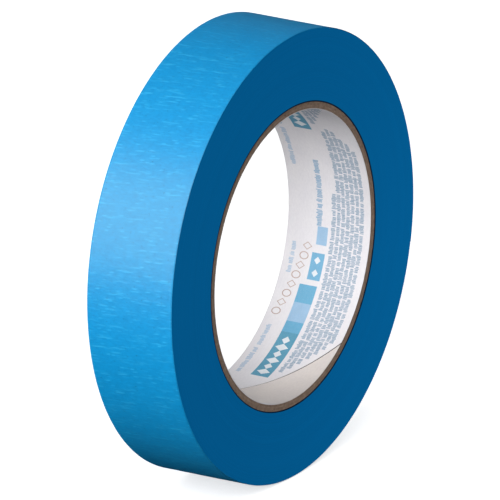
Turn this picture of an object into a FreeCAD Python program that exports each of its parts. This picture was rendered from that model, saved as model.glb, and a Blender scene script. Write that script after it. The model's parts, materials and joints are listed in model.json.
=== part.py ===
import FreeCAD, Part
import math
import os
import Sketcher

# Masking tape roll: a spiral-wound paper core, the pack of tape wound on it, and the tape's peelable end.
#
# The frame: +Y along the roll's axis, +Z up, origin at the centre of the core's bore. The roll stands
# on its rim. Angles round the roll are in degrees from +X towards +Z. Lengths are in millimetres.

DIMENSIONS = {
    # The core: one printed liner ply inside plain kraft board plies, on a 3-inch bore.
    "bore_radius": 38.1,
    "liner_thickness": 0.15,
    "ply_thickness": 0.42,
    "ply_count": 4,
    "glue_line": 0.02,
    "core_recess": 0.15,
    # Each ply is a strip wound as a helix, so its two edges leave a seam that climbs along the axis.
    "seam_pitch": 145.0,
    "seam_width": 0.35,
    "seam_overrun": 1.0,
    "first_seam_angle": 277.3,
    "seam_stagger": 74.0,
    # The tape: each turn adds one thickness to the radius.
    "tape_width": 25.0,
    "tape_thickness": 0.12,
    "tape_turns": 160,
    # The tape's end, held down by its adhesive, is a chain of short stretches of the outermost turn.
    "adhesive_line": 0.02,
    "stretch_count": 6,
    "stretch_sweep": 12.0,
    "stretch_gap": 0.05,
    "tape_end_angle": -12.0,
}

XZ, XY = "XZ_Plane", "XY_Plane"
# How a sketch names its own origin and X axis, and the points of its lines and arcs.
ORIGIN = (-1, 1)
X_AXIS = -1
START, END, CENTRE = 1, 2, 3
SPARE_CELL = "D1"
AXIS_OF_ROLL = FreeCAD.Vector(0, -1, 0)

doc = FreeCAD.newDocument("masking_tape_roll")
sheet = doc.addObject("Spreadsheet::Sheet", "Dimensions")
for row, (alias, number) in enumerate(DIMENSIONS.items(), start=1):
    sheet.set(f"A{row}", alias)
    sheet.set(f"B{row}", str(number))
    sheet.setAlias(f"B{row}", alias)
doc.recompute()


def size(alias):
    """A driving dimension, as the sheet holds it."""
    return float(sheet.get(alias))


def sheet_value(formula):
    """A formula of dimensions, worked out by the sheet in a spare cell."""
    sheet.set(SPARE_CELL, "=" + formula)
    sheet.recompute()
    value = float(sheet.get(SPARE_CELL))
    sheet.clear(SPARE_CELL)
    return value


def cells(formula):
    """The formula with each dimension's name written as a reference to its cell."""
    for alias in sorted(DIMENSIONS, key=len, reverse=True):
        formula = formula.replace(alias, f"Dimensions.{alias}")
    return formula


def turned(angle, base=FreeCAD.Vector(0, 0, 0)):
    """A placement that turns a piece about the roll's axis, from +X towards +Z."""
    return FreeCAD.Placement(base, FreeCAD.Rotation(AXIS_OF_ROLL, angle))


def new_body(label):
    body = doc.addObject("PartDesign::Body", label)
    body.Label = label
    return body


def new_sketch(body, name, plane):
    sketch = body.newObject("Sketcher::SketchObject", name)
    support = next(item for item in body.Origin.OriginFeatures if item.Role == plane)
    sketch.AttachmentSupport = (support, "")
    sketch.MapMode = "FlatFace"
    return sketch


def point(x, y):
    return FreeCAD.Vector(x, y, 0)


def arc(centre_x, radius, start, end):
    """An arc about a point of the sketch's X axis, between two angles in degrees."""
    circle = Part.Circle(point(centre_x, 0), FreeCAD.Vector(0, 0, 1), radius)
    return Part.ArcOfCircle(circle, math.radians(start), math.radians(end))


def constrain(sketch, kind, *where):
    sketch.addConstraint(Sketcher.Constraint(kind, *where))


def drive(sketch, kind, name, value, formula, *where):
    """A constraint with a size, bound to the sheet's cells."""
    index = sketch.addConstraint(Sketcher.Constraint(kind, *where, value))
    sketch.renameConstraint(index, name)
    sketch.setExpression(f"Constraints.{name}", cells(formula))


def pad_across_roll(body, sketch, width_formula):
    """Pads a sketch on the XZ plane evenly to both sides along the roll's axis."""
    pad = body.newObject("PartDesign::Pad", "Pad")
    pad.Profile = sketch
    pad.SideType = "Symmetric"
    pad.setExpression("Length", cells(width_formula))
    sketch.Visibility = False
    doc.recompute()
    return pad


def draw_circle(sketch, name, radius, formula):
    circle = sketch.addGeometry(Part.Circle(point(0, 0), FreeCAD.Vector(0, 0, 1), radius))
    constrain(sketch, "Coincident", circle, CENTRE, *ORIGIN)
    drive(sketch, "Radius", name, radius, formula, circle)


def cut_seam(body, inner, outer, inner_formula, outer_formula):
    """Cuts the gap between a ply's strip edges: a small rectangle swept as a right-handed helix."""
    sketch = new_sketch(body, "SeamProfile", XY)
    reach = size("seam_overrun")
    low = -size("tape_width") / 2 - reach
    near, far, high = inner - reach, outer + reach, low + size("seam_width")
    corners = [point(near, low), point(far, low), point(far, high), point(near, high)]
    sides = [
        sketch.addGeometry(Part.LineSegment(corners[i], corners[(i + 1) % 4]))
        for i in range(4)
    ]
    for i in range(4):
        constrain(sketch, "Coincident", sides[i], END, sides[(i + 1) % 4], START)
    for i in (0, 2):
        constrain(sketch, "Horizontal", sides[i])
        constrain(sketch, "Vertical", sides[i + 1])
    corner = (sides[0], START)
    drive(sketch, "DistanceX", "near", near, f"{inner_formula} - seam_overrun", *ORIGIN, *corner)
    drive(sketch, "DistanceX", "far", far, f"{outer_formula} + seam_overrun", *ORIGIN, sides[0], END)
    drive(sketch, "DistanceY", "low", -low, "tape_width / 2 + seam_overrun", *corner, *ORIGIN)
    drive(sketch, "DistanceY", "width", size("seam_width"), "seam_width", sides[1], START, sides[1], END)
    sketch.Visibility = False
    doc.recompute()

    before = body.Shape.Volume
    helix = body.newObject("PartDesign::SubtractiveHelix", "Seam")
    helix.Profile = sketch
    helix.ReferenceAxis = (sketch, ["V_Axis"])
    helix.Mode = "pitch-height-angle"
    helix.LeftHanded = False
    helix.setExpression("Pitch", cells("seam_pitch"))
    helix.setExpression("Height", cells("tape_width + 2 * seam_overrun"))
    doc.recompute()

    length = size("tape_width") - 2 * size("core_recess")
    turns = length / size("seam_pitch")
    expected = math.pi * (outer ** 2 - inner ** 2) * size("seam_width") * turns
    removed = before - body.Shape.Volume
    if abs(removed - expected) > 0.1 * expected:
        raise RuntimeError(f"{body.Label}: the seam removes {removed:.2f} mm3, not {expected:.2f} mm3")


def make_core_ring(label, inner_formula, thickness, seam_angle):
    """One ply of the core: a thin ring with its helical seam, at the given angle where y is 0."""
    inner = sheet_value(inner_formula)
    outer = inner + size(thickness)
    outer_formula = f"{inner_formula} + {thickness}"
    body = new_body(label)
    sketch = new_sketch(body, "Ring", XZ)
    draw_circle(sketch, "inner", inner, inner_formula)
    draw_circle(sketch, "outer", outer, outer_formula)
    pad_across_roll(body, sketch, "tape_width - 2 * core_recess")
    cut_seam(body, inner, outer, inner_formula, outer_formula)
    # The helix starts on +X below the front face and turns by this much before it reaches y = 0.
    start_to_middle = 360 * (size("tape_width") / 2 + size("seam_overrun")) / size("seam_pitch")
    body.Placement = turned(seam_angle + start_to_middle)
    return body


# Radii of the spiral. One turn of tape is drawn as two half circles whose centres lie either side of
# the roll's axis, so that a turn starts one thickness above where the turn below it ends.
CORE_OUTSIDE = "bore_radius + liner_thickness + ply_count * (ply_thickness + glue_line)"
PACK_BORE = f"{CORE_OUTSIDE} + glue_line"
ROLL_RADIUS = f"{PACK_BORE} + tape_turns * tape_thickness"
SPIRAL_OFFSET = "tape_thickness / 4"
FIRST_HALF_RADIUS = f"{ROLL_RADIUS} - {SPIRAL_OFFSET}"


def draw_half_circles(sketch, name, first_angle, below):
    """The two half circles of one turn's outer face, from first_angle round to 360 degrees, lowered
    by below thicknesses. Returns the two arcs. The centres and the half-turn ends lie on the X axis."""
    offset = sheet_value(SPIRAL_OFFSET)
    radius = sheet_value(FIRST_HALF_RADIUS) - below * size("tape_thickness")
    first = sketch.addGeometry(arc(offset, radius, first_angle, 180))
    second = sketch.addGeometry(arc(-offset, radius - 2 * offset, 180, 360))
    for half in (first, second):
        constrain(sketch, "PointOnObject", half, CENTRE, X_AXIS)
        constrain(sketch, "PointOnObject", half, END, X_AXIS)
    constrain(sketch, "Coincident", first, END, second, START)
    formula = f"{FIRST_HALF_RADIUS} - {below} * tape_thickness"
    drive(sketch, "Radius", f"{name}_radius", radius, formula, first)
    drive(sketch, "DistanceX", f"{name}_first", offset, SPIRAL_OFFSET, *ORIGIN, first, CENTRE)
    drive(sketch, "DistanceX", f"{name}_second", offset, SPIRAL_OFFSET, second, CENTRE, *ORIGIN)
    return first, second


def join(sketch, start, end):
    """A straight line between two named points of the sketch."""
    first = sketch.getPoint(*start)
    last = sketch.getPoint(*end)
    line = sketch.addGeometry(Part.LineSegment(first, last))
    constrain(sketch, "Coincident", line, START, *start)
    constrain(sketch, "Coincident", line, END, *end)
    return line


def make_wound_tape():
    """Every turn but the outermost, as one ring with a step where the outermost turn's far end lies."""
    body = new_body("wound_tape")
    sketch = new_sketch(body, "Pack", XZ)
    draw_circle(sketch, "bore", sheet_value(PACK_BORE), PACK_BORE)
    first, second = draw_half_circles(sketch, "face", 0, 1)
    constrain(sketch, "PointOnObject", first, START, X_AXIS)
    join(sketch, (second, END), (first, START))
    pad_across_roll(body, sketch, "tape_width")
    body.Placement = turned(size("tape_end_angle"))


def make_outer_wrap():
    """The outermost turn, from the last stretch of the loose end round to where it dives under it."""
    start_formula = "stretch_count * stretch_sweep + stretch_gap / 2"
    start = sheet_value(start_formula)
    body = new_body("outer_wrap")
    sketch = new_sketch(body, "Turn", XZ)
    outer_first, outer_second = draw_half_circles(sketch, "outer", start, 0)
    inner_first, inner_second = draw_half_circles(sketch, "inner", start, 1)
    join(sketch, (inner_second, END), (outer_second, END))
    edge = join(sketch, (inner_first, START), (outer_first, START))
    constrain(sketch, "PointOnObject", outer_first, CENTRE, edge)
    drive(sketch, "Angle", "start", math.radians(start), start_formula, edge)
    pad_across_roll(body, sketch, "tape_width")
    body.Placement = turned(size("tape_end_angle"))


def make_stretch(label, places_from_end):
    """One short stretch of the loose end, drawn about +X and then turned to its place."""
    body = new_body(label)
    sketch = new_sketch(body, "Stretch", XZ)
    sweep_formula = "stretch_sweep - stretch_gap"
    sweep = sheet_value(sweep_formula)
    outer = sheet_value(FIRST_HALF_RADIUS)
    inner = outer - size("tape_thickness") + size("adhesive_line")
    outside = sketch.addGeometry(arc(0, outer, -sweep / 2, sweep / 2))
    inside = sketch.addGeometry(arc(0, inner, -sweep / 2, sweep / 2))
    for face in (outside, inside):
        constrain(sketch, "Coincident", face, CENTRE, *ORIGIN)
    low = join(sketch, (inside, START), (outside, START))
    high = join(sketch, (inside, END), (outside, END))
    for edge in (low, high):
        constrain(sketch, "PointOnObject", *ORIGIN, edge)
    constrain(sketch, "Symmetric", outside, START, outside, END, X_AXIS)
    drive(sketch, "Radius", "outer", outer, FIRST_HALF_RADIUS, outside)
    inner_formula = f"{FIRST_HALF_RADIUS} - tape_thickness + adhesive_line"
    drive(sketch, "Radius", "inner", inner, inner_formula, inside)
    drive(sketch, "Angle", "sweep", math.radians(sweep), sweep_formula, low, high)
    pad_across_roll(body, sketch, "tape_width")
    end = turned(size("tape_end_angle"))
    centre = end.multVec(FreeCAD.Vector(sheet_value(SPIRAL_OFFSET), 0, 0))
    middle = (places_from_end + 0.5) * size("stretch_sweep")
    body.Placement = turned(size("tape_end_angle") + middle, centre)


def make_core():
    make_core_ring("core_liner", "bore_radius", "liner_thickness", size("first_seam_angle"))
    for ply in range(int(size("ply_count"))):
        inside = f"bore_radius + liner_thickness + {ply} * ply_thickness + {ply + 1} * glue_line"
        seam_angle = size("first_seam_angle") + (ply + 1) * size("seam_stagger")
        make_core_ring(f"core_ply_{ply + 1}", inside, "ply_thickness", seam_angle)


def make_loose_end():
    count = int(size("stretch_count"))
    for number in range(1, count):
        make_stretch(f"tape_stretch_{number}", count - number)
    make_stretch("tape_end", 0)


def check_and_export():
    """Stops on any failed object or broken shape, and only then writes one file for each piece."""
    doc.recompute()
    for item in doc.Objects:
        if "Invalid" in item.State or "Error" in item.State:
            raise RuntimeError(f"{item.Label} did not recompute: {item.State}")
    bodies = [item for item in doc.Objects if item.TypeId == "PartDesign::Body"]
    for body in bodies:
        if body.Shape.isNull() or not body.Shape.isValid() or len(body.Shape.Solids) != 1:
            raise RuntimeError(f"{body.Label} is not one valid solid")
    os.makedirs("parts", exist_ok=True)
    for body in bodies:
        body.Shape.exportStep(f"parts/{body.Label}.step")
        box = body.Shape.BoundBox
        print(f"{body.Label:16s} {body.Shape.Volume:10.2f} mm3   x {box.XMin:8.3f} {box.XMax:8.3f}"
              f"   y {box.YMin:8.3f} {box.YMax:8.3f}   z {box.ZMin:8.3f} {box.ZMax:8.3f}")


make_core()
make_wound_tape()
make_outer_wrap()
make_loose_end()
check_and_export()
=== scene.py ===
import json
import math

import bmesh
import bpy
import numpy as np
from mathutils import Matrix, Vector


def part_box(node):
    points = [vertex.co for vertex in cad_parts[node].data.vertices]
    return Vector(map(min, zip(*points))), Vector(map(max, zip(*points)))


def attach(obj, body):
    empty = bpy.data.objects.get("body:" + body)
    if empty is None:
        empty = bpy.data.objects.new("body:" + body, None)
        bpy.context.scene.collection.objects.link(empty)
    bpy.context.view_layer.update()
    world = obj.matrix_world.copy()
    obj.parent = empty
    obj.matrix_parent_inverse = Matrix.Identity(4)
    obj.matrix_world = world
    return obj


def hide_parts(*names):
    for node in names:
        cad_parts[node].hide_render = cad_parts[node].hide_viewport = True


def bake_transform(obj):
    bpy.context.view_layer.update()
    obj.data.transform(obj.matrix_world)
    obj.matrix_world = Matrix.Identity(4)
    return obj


# The looks of a roll of crepe masking tape on a paper core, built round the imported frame.
# Metres throughout, except where a name or comment says millimetres or degrees. The roll's axis is
# Y. Angles round it are in degrees and run from +X towards +Z.

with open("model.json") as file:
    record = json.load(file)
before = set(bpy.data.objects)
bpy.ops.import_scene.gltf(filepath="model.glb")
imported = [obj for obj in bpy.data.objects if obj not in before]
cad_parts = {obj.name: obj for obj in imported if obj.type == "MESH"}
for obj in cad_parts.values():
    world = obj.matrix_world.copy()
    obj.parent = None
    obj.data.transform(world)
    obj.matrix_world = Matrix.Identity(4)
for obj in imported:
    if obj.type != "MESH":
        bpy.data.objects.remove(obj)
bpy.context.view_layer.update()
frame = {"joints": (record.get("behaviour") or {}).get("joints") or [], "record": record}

MM = 0.001
record = frame["record"]
bore = next(m for m in record["mounts"] if m["name"] == "core_bore")
BORE_RADIUS = bore["dims"]["r_mm"] * MM
CORE_WIDTH = bore["dims"]["length_mm"] * MM
TAPE_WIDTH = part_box("wound_tape")[1].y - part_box("wound_tape")[0].y

# Thicknesses of the layers, as the CAD has them.
TAPE = 0.12 * MM
ADHESIVE_LINE = 0.02 * MM
LINER = 0.15 * MM
PLY = 0.42 * MM
GLUE_LINE = 0.02 * MM
PLY_COUNT = 4

# The loose end is six stretches of twelve degrees each.
STRETCH_SWEEP = 12.0
STRETCH_COUNT = 6

# The hinge of the loose end's first stretch lies on the tape's outer face. TAPE_END is where the
# cut end lies round the axis, and ROOT is how far back along the tape from there it comes loose.
hinges = [Vector(joint["pos_m"]) for joint in frame["joints"]]
ROLL_RADIUS = hinges[0].length
PACK_BORE = BORE_RADIUS + LINER + PLY_COUNT * (PLY + GLUE_LINE) + GLUE_LINE
TAPE_END = math.degrees(math.atan2(hinges[-1].z, hinges[-1].x)) - STRETCH_SWEEP
ROOT = STRETCH_COUNT * STRETCH_SWEEP


# ---------------------------------------------------------------- noise for shapes

def lattice(ix, iy, seed):
    """A repeatable number from 0 to 1 for each point of a whole-number grid."""
    mixed = ix.astype(np.int64) * 374761393 + iy.astype(np.int64) * 668265263 + seed * 1442695041
    mixed = (mixed ^ (mixed >> 13)) & 0x7FFFFFFF
    mixed = (mixed * 1274126177) & 0x7FFFFFFF
    return (mixed ^ (mixed >> 16)) / 0x7FFFFFFF


def noise(x, y, seed):
    """Smooth noise from -1 to 1 with features one unit across."""
    x, y = np.broadcast_arrays(np.asarray(x, float), np.asarray(y, float))
    ix, iy = np.floor(x), np.floor(y)
    fx, fy = x - ix, y - iy
    fx, fy = fx * fx * (3 - 2 * fx), fy * fy * (3 - 2 * fy)
    low = lattice(ix, iy, seed) * (1 - fx) + lattice(ix + 1, iy, seed) * fx
    high = lattice(ix, iy + 1, seed) * (1 - fx) + lattice(ix + 1, iy + 1, seed) * fx
    return 2 * (low * (1 - fy) + high * fy) - 1


# How far the crepe's wrinkles lean from square across the tape.
CREPE_SKEW = 0.06
# The wrinkles come in three sizes: spacing along the tape and length across it in millimetres, and
# the share of places that have one. CREST_WIDTH is half a wrinkle's width in millimetres.
CREST_SIZES = ((0.9, 3.0, 0.20), (0.7, 1.5, 0.18), (1.5, 5.5, 0.22))
CREST_WIDTH = 0.26


def crests(along, across):
    """Where the crepe's sharp wrinkles stand, from 0 to 1: short straight dashes, a little askew
    across the tape. The tape is cut into narrow lanes, and each lane's long thin cells may hold one
    dash."""
    along = along - CREPE_SKEW * across
    total = np.zeros(np.broadcast(along, across).shape)
    for lane, (pitch, length, share) in enumerate(CREST_SIZES):
        line = along / (pitch * MM) + 0.16 * noise(across / (1.6 * MM), along / (6 * MM), 50 + lane)
        row = np.floor(line)
        shift = across / (length * MM) + 7.3 * lattice(row, row * 0, 60 + lane)
        cell = np.floor(shift)
        used = lattice(row, cell, 70 + lane) < share
        height = 0.2 + 0.8 * lattice(row, cell, 80 + lane) ** 2
        centre = 0.25 + 0.5 * lattice(row, cell, 90 + lane)
        profile = np.clip(1 - np.abs(line - row - centre) * pitch / CREST_WIDTH, 0, 1)
        ends = np.clip(1 - (2 * np.abs(shift - cell - 0.5)) ** 3, 0, 1)
        total = np.maximum(total, used * height * ends * profile * profile * (3 - 2 * profile))
    return total


def crepe(along, across):
    """Height of the crepe: sharp wrinkles over a soft uneven ground."""
    line = along + 0.35 * MM * noise(across / (3.1 * MM), along / (4.0 * MM), 5)
    soft = noise(line / (0.8 * MM), across / (3.6 * MM), 13)
    fine = noise(line / (0.5 * MM), across / (1.5 * MM), 23)
    dimple = noise(along / (1.5 * MM), across / (2.1 * MM), 37)
    sag = noise(along / (14 * MM), across / (9 * MM), 41)
    ground = 0.003 * soft + 0.004 * fine + 0.011 * dimple + 0.008 * sag
    return (ground + 0.034 * crests(along, across)) * MM


# ---------------------------------------------------------------- meshes

def finish_piece(piece, materials, body, nodes=()):
    """Gives a piece its materials and tells the frame what it moves with and stands in for."""
    for material in materials:
        piece.data.materials.append(material)
    if body:
        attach(piece, body)
    if nodes:
        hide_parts(*nodes)


def make_mesh(name, points, faces, places, smooth=True):
    """A mesh whose points also keep where they lie on the unrolled paper, for the materials."""
    mesh = bpy.data.meshes.new(name)
    mesh.from_pydata([tuple(p) for p in points], [], faces)
    attribute = mesh.attributes.new("paper_place", "FLOAT_VECTOR", "POINT")
    attribute.data.foreach_set("vector", np.asarray(places, np.float32).ravel())
    mesh.update()
    work = bmesh.new()
    work.from_mesh(mesh)
    bmesh.ops.recalc_face_normals(work, faces=work.faces)
    work.to_mesh(mesh)
    work.free()
    if smooth:
        mesh.polygons.foreach_set("use_smooth", [True] * len(mesh.polygons))
        mesh.set_sharp_from_angle(angle=math.radians(40))
    piece = bpy.data.objects.new(name, mesh)
    bpy.context.scene.collection.objects.link(piece)
    return piece


def sweep_faces(steps, outline, closed, ladder=None):
    """Quads between neighbouring outlines, and end caps where the sweep doesn't close on itself.
    ladder says how many of the outline's first points face as many of its last ones across the
    piece's thickness, so that a long thin cap becomes a row of quads."""
    faces = []
    for i in range(steps if closed else steps - 1):
        a, b = i * outline, ((i + 1) % steps) * outline
        for j in range(outline):
            k = (j + 1) % outline
            faces.append((a + j, a + k, b + k, b + j))
    if not closed:
        for base in (0, (steps - 1) * outline):
            if ladder is None:
                faces.append(tuple(base + j for j in range(outline)))
                continue
            first, last = ladder
            for j in range(len(first) - 1):
                corners = (first[j], first[j + 1], last[j + 1], last[j])
                faces.append(tuple(base + corner for corner in corners))
            for side in (range(first[-1], last[-1] + 1), range(last[0], first[0] + outline + 1)):
                ring = [base + j % outline for j in side]
                if len(ring) > 2:
                    faces.append(tuple(ring))
    return faces


# ---------------------------------------------------------------- the tape's spiral

def spiral(phi, level):
    """Centre offset and radius of the tape's outer face, phi degrees back along the tape from its
    end and level turns further in. Each turn is two half circles about two centres."""
    first = phi <= 180
    offset = np.where(first, TAPE / 4, -TAPE / 4)
    radius = np.where(first, ROLL_RADIUS - TAPE / 4, ROLL_RADIUS - 3 * TAPE / 4) - level * TAPE
    return offset, radius


def place_on_spiral(phi, depth, y, level):
    """Points below the tape's outer face by depth."""
    offset, radius = spiral(phi, level)
    turn, end = np.radians(phi + TAPE_END), math.radians(TAPE_END)
    x = offset * math.cos(end) + (radius - depth) * np.cos(turn)
    z = offset * math.sin(end) + (radius - depth) * np.sin(turn)
    return np.stack(np.broadcast_arrays(x, y, z), -1)


# The outer face is sunk by the wrinkles' full height, so that it never passes its CAD solid.
CREPE_SINK = 0.06 * MM


def tape_strip(name, phi, level, rows, thickness, under_rows):
    """A closed strip of the tape along the angles phi, and which points of its outline are on the
    inner face. The outer face carries the crepe's wrinkles, and so does the inner one unless it has
    only two rows."""
    edge = 0.03 * MM
    half = TAPE_WIDTH / 2
    outer_y = np.concatenate([[-half], np.linspace(-half + edge, half - edge, rows), [half]])
    outer_drop = np.zeros(rows + 2)
    outer_drop[[0, -1]] = 0.6 * edge
    under_y = np.linspace(half, -half, under_rows)
    y = np.concatenate([outer_y, under_y])
    drop = np.concatenate([outer_drop, np.full(under_rows, thickness)])
    grid_phi, grid_y = np.meshgrid(phi, y, indexing="ij")
    along = np.radians(grid_phi + 360 * level) * ROLL_RADIUS
    height = crepe(along, grid_y)
    if under_rows == 2:
        height[:, rows + 2:] = 0
    depth = drop[None, :] - height + CREPE_SINK * (drop[None, :] < thickness)
    points = place_on_spiral(grid_phi, depth, grid_y, level)
    # The third place is the wrinkles' height, which the crepe material uses for a painted
    # highlight.
    places = np.stack([along, grid_y, crests(along, grid_y) * MM], -1)
    outline = len(y)
    faces = sweep_faces(len(phi), outline, False)
    piece = make_mesh(name, points.reshape(-1, 3), faces, places.reshape(-1, 3))
    under = np.arange(outline) >= rows + 2
    return piece, under


def stations(start, end, step):
    """Angles from start to end, about step apart."""
    return np.linspace(start, end, max(2, round((end - start) / step) + 1))


# ---------------------------------------------------------------- wound strips of the core

# A seam leans round the core by one turn in 145 mm of width. Each ply's seam is 74 degrees on from
# the one inside it.
SEAM_SLOPE = -360.0 / 145.0
SEAM_WIDTH = 0.35 * MM
FIRST_SEAM = 277.3
SEAM_STAGGER = 74.0
# Points round each ply, and rows of them across it.
CORE_STATIONS, CORE_ROWS = 420, 26


def seam_angle(y, ply):
    """Where a ply's seam lies at y, in degrees. Ply 0 is the liner."""
    return FIRST_SEAM + ply * SEAM_STAGGER + SEAM_SLOPE * y / MM


def wound_strip(name, ply, inner, outer, roughness):
    """One ply as a strip from one edge of its seam round to the other, with roughly cut ends."""
    steps, rows = CORE_STATIONS, CORE_ROWS
    half = CORE_WIDTH / 2
    ladder_y = np.linspace(-half, half, rows)
    cut = np.linspace(0, 1, 4)[1:-1]
    y = np.concatenate([ladder_y, np.full(2, half), ladder_y[::-1], np.full(2, -half)])
    radius = np.concatenate([
        np.full(rows, inner), inner + cut * (outer - inner),
        np.full(rows, outer), outer - cut * (outer - inner),
    ])
    share = np.linspace(0, 1, steps)[:, None]
    gap = SEAM_WIDTH / MM * abs(SEAM_SLOPE)
    start = seam_angle(y, ply)[None, :] + gap / 2
    theta = start + share * (360 - gap)
    arc = np.radians(theta) * inner
    at_end = np.abs(y) > half - 1e-9
    rough = noise(arc / (0.5 * MM), radius / (0.2 * MM) + 40 * ply, 5 + ply)
    rough += 0.6 * noise(arc / (2.4 * MM), radius / (0.5 * MM), 17 + ply)
    shift = np.where(at_end, -roughness * (0.5 + 0.5 * rough) * np.sign(y), 0.0)
    y_all = y[None, :] + shift
    turn = np.radians(theta)
    points = np.stack([radius * np.cos(turn), y_all, radius * np.sin(turn)], -1)
    strip_place = np.broadcast_to(share * 360 * np.radians(1) * inner, arc.shape)
    places = np.stack([arc, y_all, strip_place], -1)
    outline = len(y)
    first = list(range(rows))
    last = [2 * rows + 1 - j for j in range(rows)]
    faces = sweep_faces(steps, outline, False, (first, last))
    return make_mesh(name, points.reshape(-1, 3), faces, places.reshape(-1, 3))


# ---------------------------------------------------------------- materials

class Graph:
    """A small helper for building one material's nodes."""

    def __init__(self, name):
        self.material = bpy.data.materials.new(name)
        self.material.use_nodes = True
        self.nodes = self.material.node_tree.nodes
        self.shader = self.nodes["Principled BSDF"]

    def add(self, kind, **settings):
        """Adds a shader node. A setting that starts with in_ is an input's value, any other one a
        property."""
        node = self.nodes.new("ShaderNode" + kind)
        for key, value in settings.items():
            if key.startswith("in_"):
                node.inputs[key[3:].replace("_", " ")].default_value = value
            else:
                setattr(node, key, value)
        return node

    def link(self, source, output, target, socket):
        self.material.node_tree.links.new(source.outputs[output], target.inputs[socket])

    def place(self, kind):
        """A node of this kind that is fed where the point lies on the unrolled paper."""
        place = self.add("Attribute", attribute_name="paper_place", attribute_type="GEOMETRY")
        node = self.add(kind)
        self.link(place, "Vector", node, "Vector")
        return node

    def noise(self, scale, detail=3.0, roughness=0.55):
        """Noise whose features are about 1/scale metres in size along each paper direction."""
        texture = self.add("TexNoise", in_Scale=1.0, in_Detail=detail, in_Roughness=roughness)
        stretch = self.place("Mapping")
        stretch.inputs["Scale"].default_value = scale
        self.link(stretch, "Vector", texture, "Vector")
        return texture

    def rise(self, axis, start, end, **settings):
        """Runs from 0 to 1 between two values of one coordinate of the paper place."""
        rise = self.add("MapRange", **settings)
        rise.inputs["From Min"].default_value = start
        rise.inputs["From Max"].default_value = end
        self.link(self.place("SeparateXYZ"), axis, rise, "Value")
        return rise

    def ramp(self, source, stops):
        """Turns a noise into colours, each stop a position and a colour."""
        ramp = self.add("ValToRGB")
        elements = ramp.color_ramp.elements
        while len(elements) < len(stops):
            elements.new(0.5)
        for element, (position, colour) in zip(elements, stops):
            element.position = position
            element.color = (*colour, 1.0)
        self.link(source, "Fac", ramp, "Fac")
        return ramp

    def feed(self, node, target):
        """Links a mix's result, or any other node's first output, to a socket."""
        output = node.outputs[2 if node.bl_idname == "ShaderNodeMix" else 0]
        self.material.node_tree.links.new(output, target)

    def mix(self, kind, factor, a, b):
        """Mixes two colours, each a node or a plain colour, by a node or a plain share."""
        mix = self.add("Mix", data_type="RGBA", blend_type=kind)
        for source, socket in ((factor, 0), (a, 6), (b, 7)):
            if isinstance(source, bpy.types.Node):
                self.feed(source, mix.inputs[socket])
            else:
                mix.inputs[socket].default_value = source
        return mix

    def colour(self, node):
        """Makes a node's colour the surface's."""
        self.feed(node, self.shader.inputs["Base Color"])

    def bump(self, sources, distance, strength):
        """Chains bumps from several height nodes, coarse first."""
        previous = None
        for source, far, strong in zip(sources, distance, strength):
            bump = self.add("Bump", in_Distance=far, in_Strength=strong)
            self.link(source, "Fac", bump, "Height")
            if previous:
                self.link(previous, "Normal", bump, "Normal")
            previous = bump
        self.link(previous, "Normal", self.shader, "Normal")

    def set(self, **values):
        """Sets plain values on the shader's own sockets."""
        for key, value in values.items():
            self.shader.inputs[key.replace("_", " ")].default_value = value


def per_mm(along, across):
    """Noise scale for features of these sizes in millimetres."""
    return (1 / (along * MM), 1 / (across * MM), 1.0)


WHITE = (1.0, 1.0, 1.0)


def crepe_material(name, dark, light, crest_highlight, roughness, specular):
    """Crepe paper: streaks across the tape, cloudy dye, bumpy wrinkles and a painted highlight on
    their crests.
    """
    g = Graph(name)
    streaks = g.noise(per_mm(0.6, 1.8), 3.0, 0.6)
    clouds = g.noise(per_mm(3.2, 4.2), 3.0)
    mottle = g.noise(per_mm(0.75, 1.0), 2.0)
    fibres = g.noise(per_mm(0.2, 0.8), 2.0)
    tone = g.ramp(streaks, [(0.3, dark), (0.72, light)])
    cloud = g.ramp(clouds, [(0.3, (0.90, 0.93, 0.95)), (0.7, WHITE)])
    speckle = g.ramp(
        mottle, [(0.24, (0.50, 0.70, 0.76)), (0.34, (0.90, 0.95, 0.97)), (0.60, WHITE)])
    dyed = g.mix("MULTIPLY", 1.0, g.mix("MULTIPLY", 1.0, tone, cloud), speckle)
    # Painted highlight: the wrinkles' crests are mixed towards a lighter blue, by their height.
    crest_glint = g.rise("Z", 0.0, MM)
    crest_glint.inputs["To Max"].default_value = 0.85
    g.colour(g.mix("MIX", crest_glint, dyed, (*crest_highlight, 1.0)))
    sheen = g.ramp(fibres, [(0.2, (roughness - 0.05,) * 3), (0.8, (roughness + 0.07,) * 3)])
    g.link(sheen, "Color", g.shader, "Roughness")
    g.bump([streaks, fibres], [0.03 * MM, 0.015 * MM], [0.6, 0.4])
    g.set(Specular_IOR_Level=specular, Specular_Tint=(1.0, 0.94, 0.32, 1.0))
    return g.material


def flank_material():
    """The slit edges of the turns: deep blue, matt, with one fine line for each turn, and a painted
    shade, near black, where the innermost turns meet the core."""
    g = Graph("slit_tape_edges")
    turns = g.noise(per_mm(400, 0.13), 1.0)
    bands = g.noise(per_mm(600, 2.2), 2.0)
    grain = g.noise(per_mm(1.1, 0.25), 2.0)
    tone = g.ramp(turns, [(0.25, (0.0008, 0.206, 0.560)), (0.75, (0.0012, 0.238, 0.640))])
    band = g.ramp(bands, [(0.3, (0.94, 0.96, 0.97)), (0.7, WHITE)])
    # Painted shade: the flank turns near black close to the bore, where the turns meet the core.
    shade_free = g.rise(
        "Y", PACK_BORE + 0.15 * MM, PACK_BORE + 0.45 * MM, interpolation_type="SMOOTHSTEP")
    g.colour(g.mix("MIX", shade_free, (0.006, 0.020, 0.050, 1.0), g.mix("MULTIPLY", 1.0, tone, band)))
    g.bump([turns, grain], [0.02 * MM, 0.01 * MM], [0.5, 0.4])
    g.set(Roughness=0.65, Specular_IOR_Level=0.03, Specular_Tint=(0.5, 0.8, 1.0, 1.0))
    return g.material


PLY_SHADES = (0.92, 1.08, 0.97, 1.04)


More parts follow.
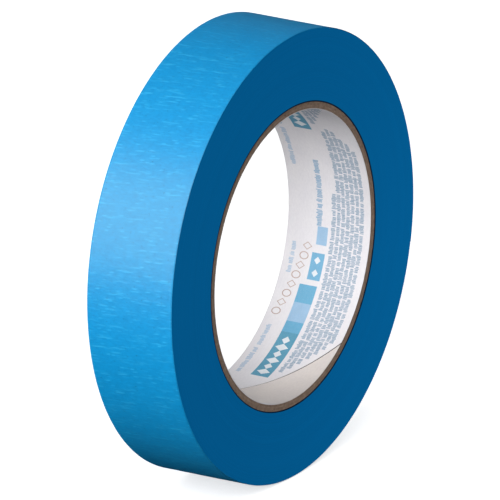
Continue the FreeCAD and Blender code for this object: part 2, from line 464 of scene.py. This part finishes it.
def kraft_material(ply):
    """Board fibres: long flecks along the paper, a touch lighter or darker in each ply."""
    g = Graph(f"kraft_board_{ply}")
    fibres = g.noise(per_mm(1.6, 0.22), 4.0, 0.65)
    blotches = g.noise(per_mm(6, 5), 2.0)
    shade = PLY_SHADES[ply - 1]
    dark = tuple(shade * c for c in (0.225, 0.155, 0.112))
    light = tuple(shade * c for c in (0.430, 0.310, 0.238))
    tone = g.ramp(fibres, [(0.3, dark), (0.7, light)])
    patch = g.ramp(blotches, [(0.3, (0.86, 0.87, 0.88)), (0.7, WHITE)])
    g.colour(g.mix("MULTIPLY", 1.0, tone, patch))
    g.bump([fibres], [0.05 * MM], [0.7])
    g.set(Roughness=0.9, Specular_IOR_Level=0.1)
    return g.material


def liner_material():
    """Smooth white paper, warmer on the strip's plain margin beside the seam."""
    g = Graph("liner_paper")
    fibres = g.noise(per_mm(0.9, 0.5), 4.0, 0.6)
    mottle = g.noise(per_mm(7, 6), 2.0)
    tone = g.ramp(fibres, [(0.3, (0.755, 0.735, 0.758)), (0.7, (0.812, 0.790, 0.808))])
    patch = g.ramp(mottle, [(0.3, (0.95, 0.95, 0.965)), (0.7, WHITE)])
    white = g.mix("MULTIPLY", 1.0, tone, patch)
    length = 2 * math.pi * BORE_RADIUS
    margin = g.rise("Z", length - 38 * MM, length - 29 * MM, interpolation_type="SMOOTHSTEP")
    cream = g.mix("MULTIPLY", 1.0, white, (0.94, 0.885, 0.815, 1.0))
    g.colour(g.mix("MIX", margin, white, cream))
    g.bump([fibres, mottle], [0.01 * MM, 0.05 * MM], [0.4, 0.3])
    g.set(Roughness=0.55, Specular_IOR_Level=0.3)
    return g.material


def ink_material(name, colour, fade):
    """Printing ink: one tone, thinner in places where the paper shows through."""
    g = Graph(name)
    grain = g.noise(per_mm(0.35, 0.35), 3.0, 0.7)
    patchy = g.noise(per_mm(3.0, 2.0), 2.0)
    pale = tuple(c + fade * (0.8 - c) for c in colour)
    tone = g.ramp(grain, [(0.35, colour), (0.75, pale)])
    cloud = g.ramp(patchy, [(0.3, (0.92, 0.93, 0.94)), (0.7, WHITE)])
    g.colour(g.mix("MULTIPLY", 1.0, tone, cloud))
    g.bump([grain], [0.004 * MM], [0.3])
    g.set(Roughness=0.5, Specular_IOR_Level=0.3)
    return g.material


# ---------------------------------------------------------------- the tape

# Each crepe's third colour is a painted highlight for the crests of its wrinkles.
TAPE_BLUE = crepe_material(
    "crepe_tape", (0.0008, 0.318, 0.715), (0.0016, 0.366, 0.790), (0.040, 0.530, 0.920), 0.42, 0.80)
ADHESIVE = crepe_material(
    "adhesive_face", (0.030, 0.330, 0.600), (0.060, 0.430, 0.720), (0.120, 0.520, 0.800), 0.30, 0.6)
EDGES = flank_material()
# Rows of points across the tape, and the degrees between them along it, where the crepe shows and
# where it is covered.
CREPE_ROWS = 50
CREPE_STEP = 0.19
HIDDEN_STEP = 2.0
# Where a turn ends, short of the point at which it would meet its own start.
TURN_END = 359.9


def paint_underside(piece, under):
    """Gives the faces of the inner side the second material, the adhesive."""
    outline = len(under)
    for polygon in piece.data.polygons:
        if all(under[v % outline] for v in polygon.vertices):
            polygon.material_index = 1


def make_outer_wrap():
    """The outermost turn, from where the loose end's first strip ends to where it dives under the
    tape's end."""
    phi = stations(ROOT + STRETCH_SWEEP / 2, TURN_END, CREPE_STEP)
    piece, _ = tape_strip("outer_wrap_crepe", phi, 0, CREPE_ROWS, TAPE, 2)
    finish_piece(piece, [TAPE_BLUE], "roll", ["outer_wrap"])


def make_second_turn():
    """The turn below, which the loose end uncovers: fine where it can be seen, else coarse."""
    uncovered = stations(0, ROOT + STRETCH_SWEEP, CREPE_STEP)
    hidden = stations(ROOT + STRETCH_SWEEP, TURN_END, HIDDEN_STEP)[1:]
    phi = np.concatenate([uncovered, hidden])
    piece, _ = tape_strip("second_turn", phi, 1, CREPE_ROWS, TAPE, 2)
    finish_piece(piece, [TAPE_BLUE], "roll", ["wound_tape"])


def make_pack():
    """Every turn below those two. Each flank is a stack of fine rings, one for each turn, that lie
    a few hundredths of a millimetre in or out of line."""
    rings = 158
    around = 240
    half = TAPE_WIDTH / 2
    spots = np.linspace(0, 1, rings)
    inset = 0.02 * MM
    step = 0.006 * MM * noise(np.arange(rings), 0.5, 71) + 0.02 * MM * noise(spots * 9, 2.5, 73)
    y = np.concatenate([-half + inset + step, half - inset - step[::-1]])
    share = np.concatenate([spots, spots[::-1]])
    phi = np.linspace(0, TURN_END, around)
    offset, radius = spiral(phi, 2)
    end = math.radians(TAPE_END)
    turn = np.radians(phi) + end
    rim_x = offset * math.cos(end) + radius * np.cos(turn)
    rim_z = offset * math.sin(end) + radius * np.sin(turn)
    bore_x, bore_z = PACK_BORE * np.cos(turn), PACK_BORE * np.sin(turn)
    x = bore_x[:, None] + share[None, :] * (rim_x - bore_x)[:, None]
    z = bore_z[:, None] + share[None, :] * (rim_z - bore_z)[:, None]
    points = np.stack([x, np.broadcast_to(y, x.shape), z], -1)
    arc = np.broadcast_to((turn * ROLL_RADIUS)[:, None], x.shape)
    places = np.stack([arc, np.hypot(x, z), np.zeros_like(x)], -1)
    faces = sweep_faces(around, len(y), True)
    piece = make_mesh("tape_pack", points.reshape(-1, 3), faces, places.reshape(-1, 3))
    finish_piece(piece, [EDGES], "roll", ["wound_tape"])


# How many degrees before its hinge a strip would start to bend, and how many after it the bend
# would be complete. The loose end takes a point on the tape at each, but nothing here bends the
# strips. A longer lead would look rounder, but would press the strip into the turn below. The
# first and the last hinge open furthest, so their strips have the shorter one.
SHARP_LEAD, SOFT_LEAD = 1.0, 1.6
BEND_REACH = 3.6


def make_loose_end():
    """The peelable end, as strips that each span one hinge, from the middle of one stretch to the
    middle of the next, lying on the tape's spiral. The last one reaches the tape's cut end."""
    nodes = [f"tape_stretch_{number}" for number in range(1, STRETCH_COUNT)] + ["tape_end"]
    for i, node in enumerate(nodes):
        hinge = ROOT - i * STRETCH_SWEEP
        before, after = hinge + STRETCH_SWEEP / 2, hinge - STRETCH_SWEEP / 2
        last = 0.0 if node == "tape_end" else after
        phi = stations(last, before, CREPE_STEP)
        piece, under = tape_strip(
            f"loose_end_{i + 1}", phi, 0, CREPE_ROWS, TAPE - ADHESIVE_LINE, CREPE_ROWS + 2)
        finish_piece(piece, [TAPE_BLUE, ADHESIVE], None, [node])
        paint_underside(piece, under)
        lead = SHARP_LEAD if node in (nodes[0], nodes[-1]) else SOFT_LEAD
        start = place_on_spiral(np.array(hinge + lead), TAPE / 2, 0.0, 0)
        end = place_on_spiral(np.array(hinge - BEND_REACH), TAPE / 2, 0.0, 0)
        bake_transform(piece)


# ---------------------------------------------------------------- the core

def make_core():
    """The printed liner and the plies of board over it, each a strip of its own."""
    liner = wound_strip("core_liner_paper", 0, BORE_RADIUS, BORE_RADIUS + LINER, 0.01 * MM)
    finish_piece(liner, [liner_material()], "roll", ["core_liner"])
    inside = BORE_RADIUS + LINER + GLUE_LINE
    for ply in range(1, PLY_COUNT + 1):
        name = f"kraft_ply_{ply}"
        board = wound_strip(name, ply, inside, inside + PLY, 0.05 * MM)
        finish_piece(board, [kraft_material(ply)], "roll", [f"core_ply_{ply}"])
        inside += PLY + GLUE_LINE


def make_seam_shade_and_glue():
    """The dark line at the bottom of the liner's seam: glue, with painted shade of the narrow gap.
    """
    count = 80
    half = 0.42 * SEAM_WIDTH / MM * abs(SEAM_SLOPE)
    y = np.linspace(-CORE_WIDTH / 2 + 0.02 * MM, CORE_WIDTH / 2 - 0.02 * MM, count)
    across = np.array([-half, 0, half, half, 0, -half])
    depth = np.array([0.07, 0.08, 0.07, 0.01, 0.01, 0.01]) * MM
    lumps = 0.02 * MM * noise(y[:, None] / (0.9 * MM), across[None, :] * 3, 91)
    lumps = lumps * (depth > 0.05 * MM)
    turn = np.radians(seam_angle(y, 0)[:, None] + across[None, :])
    radius = BORE_RADIUS + LINER - depth[None, :] + lumps
    y_all = np.broadcast_to(y[:, None], turn.shape)
    points = np.stack([radius * np.cos(turn), y_all, radius * np.sin(turn)], -1)
    places = np.stack([turn * BORE_RADIUS, y_all, np.zeros_like(turn)], -1)
    faces = sweep_faces(count, len(across), False)
    piece = make_mesh("liner_seam_shade_and_glue", points.reshape(-1, 3), faces, places.reshape(-1, 3))
    # Painted shade: this near-black ink stands for the shade down in the seam's gap as well as its
    # glue.
    shade_and_glue = ink_material("seam_shade_and_glue", (0.055, 0.042, 0.034), 0.08)
    finish_piece(piece, [shade_and_glue], "roll")


# ---------------------------------------------------------------- the print on the liner

INK_THICKNESS = 0.012 * MM
# Degrees between the points along a block of ink.
INK_STEP = 2.5
# How far before the seam the printing stops, in degrees.
LINER_MARGIN = 62.0


class Print:
    """Collects thin curved plates of ink on the bore's wall, to become one piece."""

    def __init__(self):
        self.points, self.faces, self.places = [], [], []

    def plate(self, corners):
        """Ink between two edges, each a list of (angle, y) points of the same length."""
        low, high = corners
        base = len(self.points)
        for edge in (low, high):
            for radius in (BORE_RADIUS - INK_THICKNESS, BORE_RADIUS + INK_THICKNESS / 2):
                for angle, y in edge:
                    turn = math.radians(angle)
                    self.points.append((radius * math.cos(turn), y, radius * math.sin(turn)))
                    self.places.append((turn * BORE_RADIUS, y, 0.0))
        n = len(low)
        rows = [base + k * n for k in range(4)]
        order = (rows[0], rows[2], rows[3], rows[1])
        for a, b in zip(order, order[1:] + order[:1]):
            for j in range(n - 1):
                self.faces.append((a + j, a + j + 1, b + j + 1, b + j))
        for j in (0, n - 1):
            self.faces.append(tuple(row + j for row in order))

    def block(self, start, end, low, high):
        """A plain rectangle of ink, from start to end degrees and from low to high metres. The
        strip's margin before the next seam stays blank."""
        if end > seam_angle((low + high) / 2, 0) - LINER_MARGIN:
            return
        count = max(2, math.ceil((end - start) / INK_STEP) + 1)
        angles = np.linspace(start, end, count)
        self.plate(([(a, low) for a in angles], [(a, high) for a in angles]))

    def lozenge(self, angle, y, width, height):
        """A four-pointed mark, width degrees long."""
        angles = np.linspace(angle - width / 2, angle + width / 2, 5)
        rise = height / 2 * np.array([0.02, 0.5, 1.0, 0.5, 0.02])
        self.plate((list(zip(angles, y - rise)), list(zip(angles, y + rise))))

    def ring(self, angle, y, radius, line, steps):
        """A small open ring, or with four steps an open lozenge."""
        spots = np.linspace(0, 2 * math.pi, steps + 1)
        degree = math.degrees(1 / BORE_RADIUS)
        edges = []
        for reach in (radius - line / 2, radius + line / 2):
            edges.append([
                (angle + reach * math.cos(s) * degree, y + 1.3 * reach * math.sin(s))
                for s in spots
            ])
        for k in range(steps):
            self.plate((edges[0][k:k + 2], edges[1][k:k + 2]))

    def words(self, start, end, y, height, random):
        """Groups of uneven ticks along a row, as fine print looks from a distance."""
        at = start
        while at < end:
            for _ in range(random.integers(3, 12)):
                wide = random.uniform(0.28, 0.62)
                low, high = random.choice([-0.5, -0.38]), random.choice([0.26, 0.34, 0.5])
                self.block(at, at + wide, y + low * height, y + high * height)
                at += wide + random.uniform(0.07, 0.17)
            at += random.uniform(0.35, 0.65)

    def lift(self):
        """Raises what is printed over other ink by one ink layer, towards the roll's axis."""
        lifted = []
        for x, y, z in self.points:
            radius = math.hypot(x, z)
            scale = (radius - INK_THICKNESS) / radius
            lifted.append((x * scale, y, z * scale))
        self.points = lifted

    def done(self, name, material):
        """Makes one piece of what was collected."""
        piece = make_mesh(name, self.points, self.faces, self.places, smooth=False)
        finish_piece(piece, [material], "roll")


# Where the first label starts and how far it is to the next, in degrees.
LABEL_START = -77.4
LABEL_REPEAT = 115.5
LABEL_COUNT = 3
# Where the first row of fine print lies across the liner and how far it is to the next, in
# millimetres.
FIRST_ROW, ROW_PITCH = -9.7, 1.4
# Where each row of fine print starts and ends, from the liner's front edge inwards, and the same
# for the parts of the faint row along its rear edge.
ROW_SPANS = (
    (24.5, 104.0), (21.0, 107.5), (18.0, 108.5), (15.0, 115.0), (11.5, 116.5), (8.0, 113.0),
    (5.0, 77.8),
)
FAINT_SPANS = ((0.4, 15.4), (17.4, 26.4), (50.0, 62.0), (94.2, 112.4))


def make_print():
    """A made-up label, repeated round the liner: a bar of four blocks in three blues, two small
    boxes, and rows of fine print cut off along the seam. Positions along it are in degrees."""
    random = np.random.default_rng(7)
    dark, middle, pale, small, rows, box_words, faint, marks = (Print() for _ in range(8))
    for number in range(LABEL_COUNT):
        at = LABEL_START + number * LABEL_REPEAT
        low, high = 0.4 * MM, 5.6 * MM
        dark.block(at, at + 25.7, low, high)
        middle.block(at + 25.7, at + 30.7, low, high)
        pale.block(at + 30.7, at + 38.9, low, high)
        middle.block(at + 38.9, at + 46.4, low, high)
        for k in range(6):
            marks.lozenge(at + 3.4 + 3.7 * k, 3.0 * MM, 3.6, (3.9, 2.4)[k % 2] * MM)
        small.block(at + 48.6, at + 59.3, 0.2 * MM, 4.0 * MM)
        marks.lozenge(at + 51.4, 2.1 * MM, 3.0, 1.9 * MM)
        marks.lozenge(at + 56.4, 2.1 * MM, 3.0, 1.9 * MM)
        pale.block(at + 62.5, at + 69.7, 0.2 * MM, 3.3 * MM)
        box_words.words(at + 69.9, at + 95.4, 3.0 * MM, 1.9 * MM, random)
        for k, (first, last) in enumerate(ROW_SPANS):
            y = (FIRST_ROW + ROW_PITCH * k) * MM
            rows.words(at + first, at + last, y, 1.35 * MM, random)
        for first, last in FAINT_SPANS:
            faint.words(at + first, at + last, 9.8 * MM, 1.5 * MM, random)
    dark.done("print_bar_dark", ink_material("ink_dark_blue", (0.090, 0.325, 0.470), 0.12))
    middle.done("print_bar_blue", ink_material("ink_blue", (0.130, 0.400, 0.605), 0.10))
    pale.done("print_bar_pale", ink_material("ink_pale_blue", (0.310, 0.500, 0.700), 0.15))
    small.done("print_box", ink_material("ink_box_blue", (0.150, 0.410, 0.620), 0.12))
    rows.done("print_rows", ink_material("ink_grey", (0.275, 0.370, 0.480), 0.25))
    box_words.done("print_blue_row", ink_material("ink_row_blue", (0.260, 0.420, 0.590), 0.3))
    faint.done("print_faint_row", ink_material("ink_faint", (0.400, 0.520, 0.670), 0.35))
    marks.lift()
    reserved = ink_material("ink_reserved_white", (0.760, 0.800, 0.830), 0.1)
    marks.done("print_reserved_marks", reserved)


def make_stamp():
    """Eight thin brown marks in a slanting row, rings and open lozenges in turn."""
    stamp = Print()
    count = 8
    for k in range(count):
        share = k / (count - 1)
        angle = -43.5 + share * 27.5
        y = (9.7 - share * 4.0) * MM
        stamp.ring(angle, y, 0.95 * MM, 0.24 * MM, (12, 4)[k % 2])
    stamp.done("print_stamp", ink_material("ink_stamp_brown", (0.470, 0.325, 0.270), 0.3))


# ---------------------------------------------------------------- camera, floor and light

def direction(azimuth, elevation):
    """The unit vector from the roll towards a viewer at this azimuth and elevation, in degrees."""
    a, e = math.radians(azimuth), math.radians(elevation)
    return Vector((math.sin(a) * math.cos(e), -math.cos(a) * math.cos(e), math.sin(e)))


def point_at(thing, target):
    """Turns a camera or a light to face the target."""
    thing.rotation_mode = "QUATERNION"
    thing.rotation_quaternion = (target - thing.location).to_track_quat("-Z", "Y")


def make_camera():
    """A long lens from the left and a little above, with the roll slightly off the centre. Its
    place and lens are a fit to the roll's outline and rings."""
    back = direction(-58.48, 18.39)
    distance = 62.9 * ROLL_RADIUS
    right = Vector((0, 0, 1)).cross(back).normalized()
    up = back.cross(right)
    aim = -0.51 * MM * right - 0.32 * MM * up
    data = bpy.data.cameras.new("camera")
    data.lens = 1053
    data.sensor_width = 36
    data.clip_start, data.clip_end = 0.1, 100
    camera = bpy.data.objects.new("camera", data)
    bpy.context.scene.collection.objects.link(camera)
    camera.location = back * distance + aim
    point_at(camera, aim)
    bpy.context.scene.camera = camera


def make_light(name, away, distance, size, watts, glossy=True):
    """A white panel that faces the roll's middle. If not glossy, it isn't mirrored in anything."""
    data = bpy.data.lights.new(name, "AREA")
    data.shape = "RECTANGLE"
    data.size, data.size_y = size
    data.energy = watts
    light = bpy.data.objects.new(name, data)
    bpy.context.scene.collection.objects.link(light)
    light.location = away.normalized() * distance
    point_at(light, Vector((0, 0, 0)))
    light.visible_camera = False
    light.visible_glossy = glossy


def make_lights():
    """Two large soft keys on the left, one on each side of the rim, and weak fills. The rear key's
    reflection is the broad sheen down the rim."""
    make_light("front_key", Vector((-0.80, -0.36, 0.52)), 1.3, (0.6, 0.6), 9.3)
    make_light("rear_key", Vector((-0.81, 0.50, 0.38)), 1.3, (0.5, 1.15), 7.5)
    make_light("rear_low_key", Vector((-0.70, 0.68, 0.02)), 1.3, (0.4, 0.3), 6.6, False)
    make_light("back_fill", Vector((0.80, 0.50, 0.20)), 1.4, (0.8, 0.8), 5.0, False)
    make_light("low_fill", Vector((0.10, -0.13, -0.035)), 0.17, (0.06, 0.06), 0.036, False)


def make_world():
    """A white sky that fades to dark grey below the horizon, so that undersides stay deep."""
    world = bpy.data.worlds.new("studio")
    bpy.context.scene.world = world
    world.use_nodes = True
    nodes, links = world.node_tree.nodes, world.node_tree.links
    place = nodes.new("ShaderNodeTexCoord")
    split = nodes.new("ShaderNodeSeparateXYZ")
    rise = nodes.new("ShaderNodeMapRange")
    rise.inputs["From Min"].default_value = -0.5
    rise.inputs["From Max"].default_value = 0.5
    rise.inputs["To Min"].default_value = 0.05
    rise.inputs["To Max"].default_value = 0.27
    links.new(place.outputs["Generated"], split.inputs["Vector"])
    links.new(split.outputs["Z"], rise.inputs["Value"])
    links.new(rise.outputs["Result"], nodes["Background"].inputs["Strength"])
    nodes["Background"].inputs["Color"].default_value = (1, 1, 1, 1)
    world.cycles_visibility.glossy = False


def make_floor():
    """A white light table, just below the roll. It glows enough to look pure white and still shows
    a faint shadow, and it neither lights the roll nor is mirrored in it."""
    size = 20.0
    mesh = bpy.data.meshes.new("floor")
    corners = [(-size, -size), (size, -size), (size, size), (-size, size)]
    low = -ROLL_RADIUS - 0.02 * MM
    mesh.from_pydata([(x, y, low) for x, y in corners], [], [(0, 1, 2, 3)])
    floor = bpy.data.objects.new("floor", mesh)
    bpy.context.scene.collection.objects.link(floor)
    g = Graph("floor_white")
    g.set(Base_Color=(0.8, 0.8, 0.8, 1), Roughness=0.9, Specular_IOR_Level=0.0,
          Emission_Color=(1, 1, 1, 1), Emission_Strength=0.67)
    mesh.materials.append(g.material)
    floor.visible_diffuse = False
    floor.visible_glossy = False


bpy.context.scene.view_settings.view_transform = "Standard"
make_camera()
make_floor()
make_world()
make_lights()
make_outer_wrap()
make_second_turn()
make_pack()
make_loose_end()
make_core()
make_seam_shade_and_glue()
make_print()
make_stamp()
